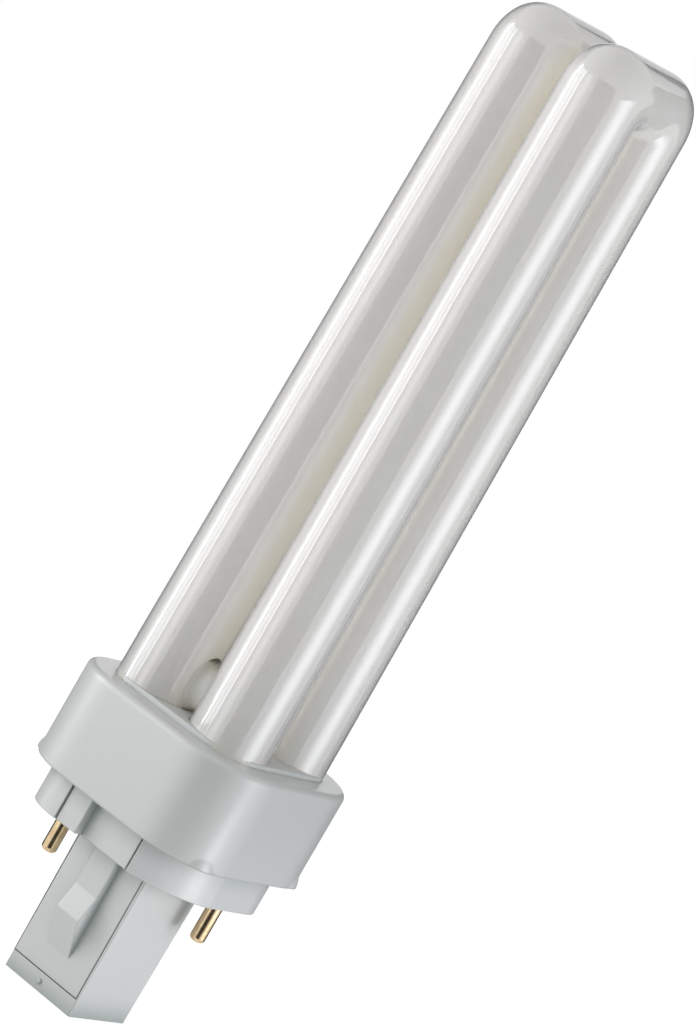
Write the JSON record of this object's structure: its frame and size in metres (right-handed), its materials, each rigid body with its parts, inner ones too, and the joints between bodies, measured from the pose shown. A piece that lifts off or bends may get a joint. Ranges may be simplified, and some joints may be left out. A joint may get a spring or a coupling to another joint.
{
  "type": "plug-in u-shaped fluorescent lamp",
  "caption": "Compact fluorescent lamp: white glass U tubes side by side, joined near the foot, in a square plastic holder over a keyed square plug with diagonal contact pins and latch ribs.",
  "frame": {"origin": "on the lamp's axis in the seating plane, the underside of the skirt, where the lamp stops on its lampholder", "axes": "+Z along the axis to the tips of the tubes, X along the side with the starter cover, which faces -Y, Y across it"},
  "size_m": [0.0346, 0.0346, 0.153],
  "materials": {
    "phosphor_glass": "glossy glass tube with a white phosphor coat inside, opaque",
    "holder_plastic": "fine-grained satin moulding, white",
    "plug_plastic": "fine-grained satin moulding, white",
    "lamp_cement": "matt, chalky",
    "pin_brass": "polished",
    "clear_glass": "clear",
    "lead_metal": "bright drawn wire and strip",
    "sleeve_metal": "tinned",
    "capacitor_coat": "dipped resin coat"
  },
  "bodies": {
    "root": {"discharge_tube": "phosphor_glass", "tube_holder": "holder_plastic", "seating_cement": "lamp_cement", "plug_housing": "plug_plastic", "starter_cover": "plug_plastic", "contact_pin_a": "pin_brass", "contact_pin_b": "pin_brass", "starter_bottle": "clear_glass", "starter_bimetal": "lead_metal", "starter_leg_a": "lead_metal", "starter_leg_b": "lead_metal", "splice_sleeve_a": "sleeve_metal", "splice_sleeve_b": "sleeve_metal", "suppressor_capacitor": "capacitor_coat", "pin_lead_a": "lead_metal", "pin_lead_b": "lead_metal", "starter_lead_a": "lead_metal", "starter_lead_b": "lead_metal", "capacitor_lead_a": "lead_metal", "capacitor_lead_b": "lead_metal"}
  },
  "joints": []
}
